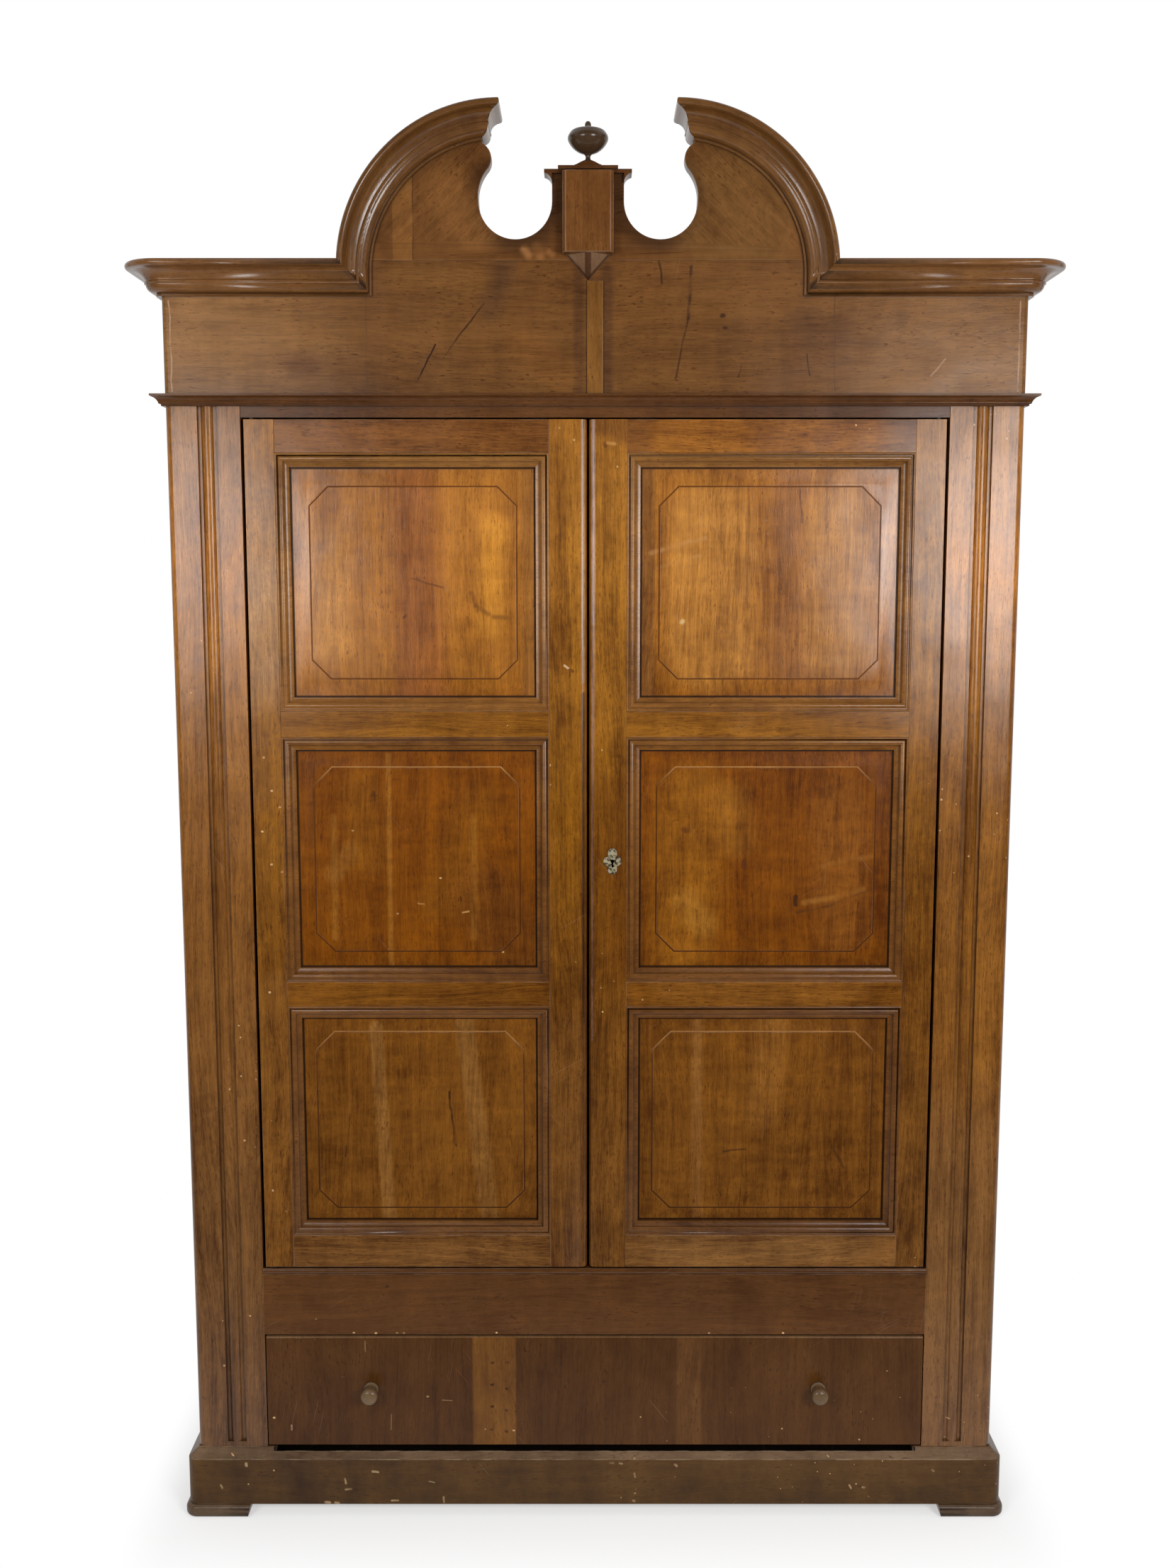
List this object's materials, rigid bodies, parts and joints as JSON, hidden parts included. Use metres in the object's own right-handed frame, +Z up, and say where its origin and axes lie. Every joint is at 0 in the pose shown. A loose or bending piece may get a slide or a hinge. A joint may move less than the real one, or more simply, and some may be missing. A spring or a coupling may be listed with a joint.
{
  "type": "wardrobe",
  "caption": "Tall wooden wardrobe with panelled double doors, fluted corner posts, a full-width drawer in the base, and a broken arched pediment with an urn finial.",
  "frame": {"origin": "on the floor, in the middle of the outline seen from above", "axes": "+X to the right seen from the front, +Y to the back, +Z up; the doors face -Y"},
  "size_m": [1.5792, 0.6151, 2.4912],
  "materials": {
    "walnut": "worn French polish",
    "walnut_dark": "dark, scratched polish",
    "walnut_golden": "golden veneer, worn polish",
    "pine": "bare, aged",
    "iron": "dark, dull",
    "brass": "dull, worn"
  },
  "bodies": {
    "carcass": {"arch_moulding_left": "walnut", "arch_moulding_right": "walnut", "arch_returns": "walnut", "back_planks": "pine", "ceiling_boards": "pine", "compartment_floor": "pine", "cornice_front_left": "walnut", "cornice_front_right": "walnut", "cornice_sides": "walnut", "drawer_runners": "pine", "finial": "walnut_dark", "foot_pads": "walnut_dark", "frieze_board": "walnut_golden", "frieze_box": "pine", "frieze_lath": "walnut", "frieze_mouldings": "walnut", "hanging_rod": "pine", "hat_shelf": "pine", "head_rail": "walnut", "pediment_battens": "pine", "pediment_board": "walnut_golden", "pilaster_left": "walnut", "pilaster_right": "walnut", "pivot_sockets": "iron", "plinth_front": "walnut_dark", "plinth_returns": "walnut_dark", "post_block": "walnut", "post_cap": "walnut", "post_pendant": "walnut", "post_plate": "walnut", "rod_sockets": "pine", "shelf_battens": "pine", "side_panels": "walnut_golden", "side_rails": "walnut", "side_stiles": "walnut", "sill_rail": "walnut_dark"},
    "drawer": {"drawer_back": "pine", "drawer_bottom": "pine", "drawer_front": "walnut_dark", "drawer_knobs": "walnut", "drawer_sides": "pine"},
    "left_door": {"bolt_guides": "iron", "left_door_hinge_stile": "walnut", "left_door_meeting_stile": "walnut", "left_door_mouldings": "walnut", "left_door_panels": "walnut_golden", "left_door_pivots": "iron", "left_door_rails": "walnut", "lock_keeper": "iron"},
    "right_door": {"escutcheon": "brass", "lock_case": "iron", "right_door_hinge_stile": "walnut", "right_door_meeting_stile": "walnut", "right_door_mouldings": "walnut", "right_door_panels": "walnut_golden", "right_door_pivots": "iron", "right_door_rails": "walnut"},
    "lock_bolt": {"lock_bolt": "iron"},
    "top_bolt": {"top_bolt": "iron"},
    "bottom_bolt": {"bottom_bolt": "iron"}
  },
  "joints": [
    {"name": "left_door_swing", "type": "hinge", "parent": "carcass", "child": "left_door", "pos_m": [-0.5855, -0.2425, 1.2], "axis": [0, 0, -1], "range_deg": [0, 110]},
    {"name": "right_door_swing", "type": "hinge", "parent": "carcass", "child": "right_door", "pos_m": [0.5855, -0.2425, 1.2], "axis": [0, 0, 1], "range_deg": [0, 110]},
    {"name": "drawer_slide", "type": "slide", "parent": "carcass", "child": "drawer", "axis": [0, -1, 0], "range_m": [0, 0.38]},
    {"name": "lock_bolt_slide", "type": "slide", "parent": "right_door", "child": "lock_bolt", "axis": [-1, 0, 0], "range_m": [0, 0.012]},
    {"name": "top_bolt_slide", "type": "slide", "parent": "left_door", "child": "top_bolt", "axis": [0, 0, 1], "range_m": [0, 0.015]},
    {"name": "bottom_bolt_slide", "type": "slide", "parent": "left_door", "child": "bottom_bolt", "axis": [0, 0, -1], "range_m": [0, 0.015]}
  ]
}
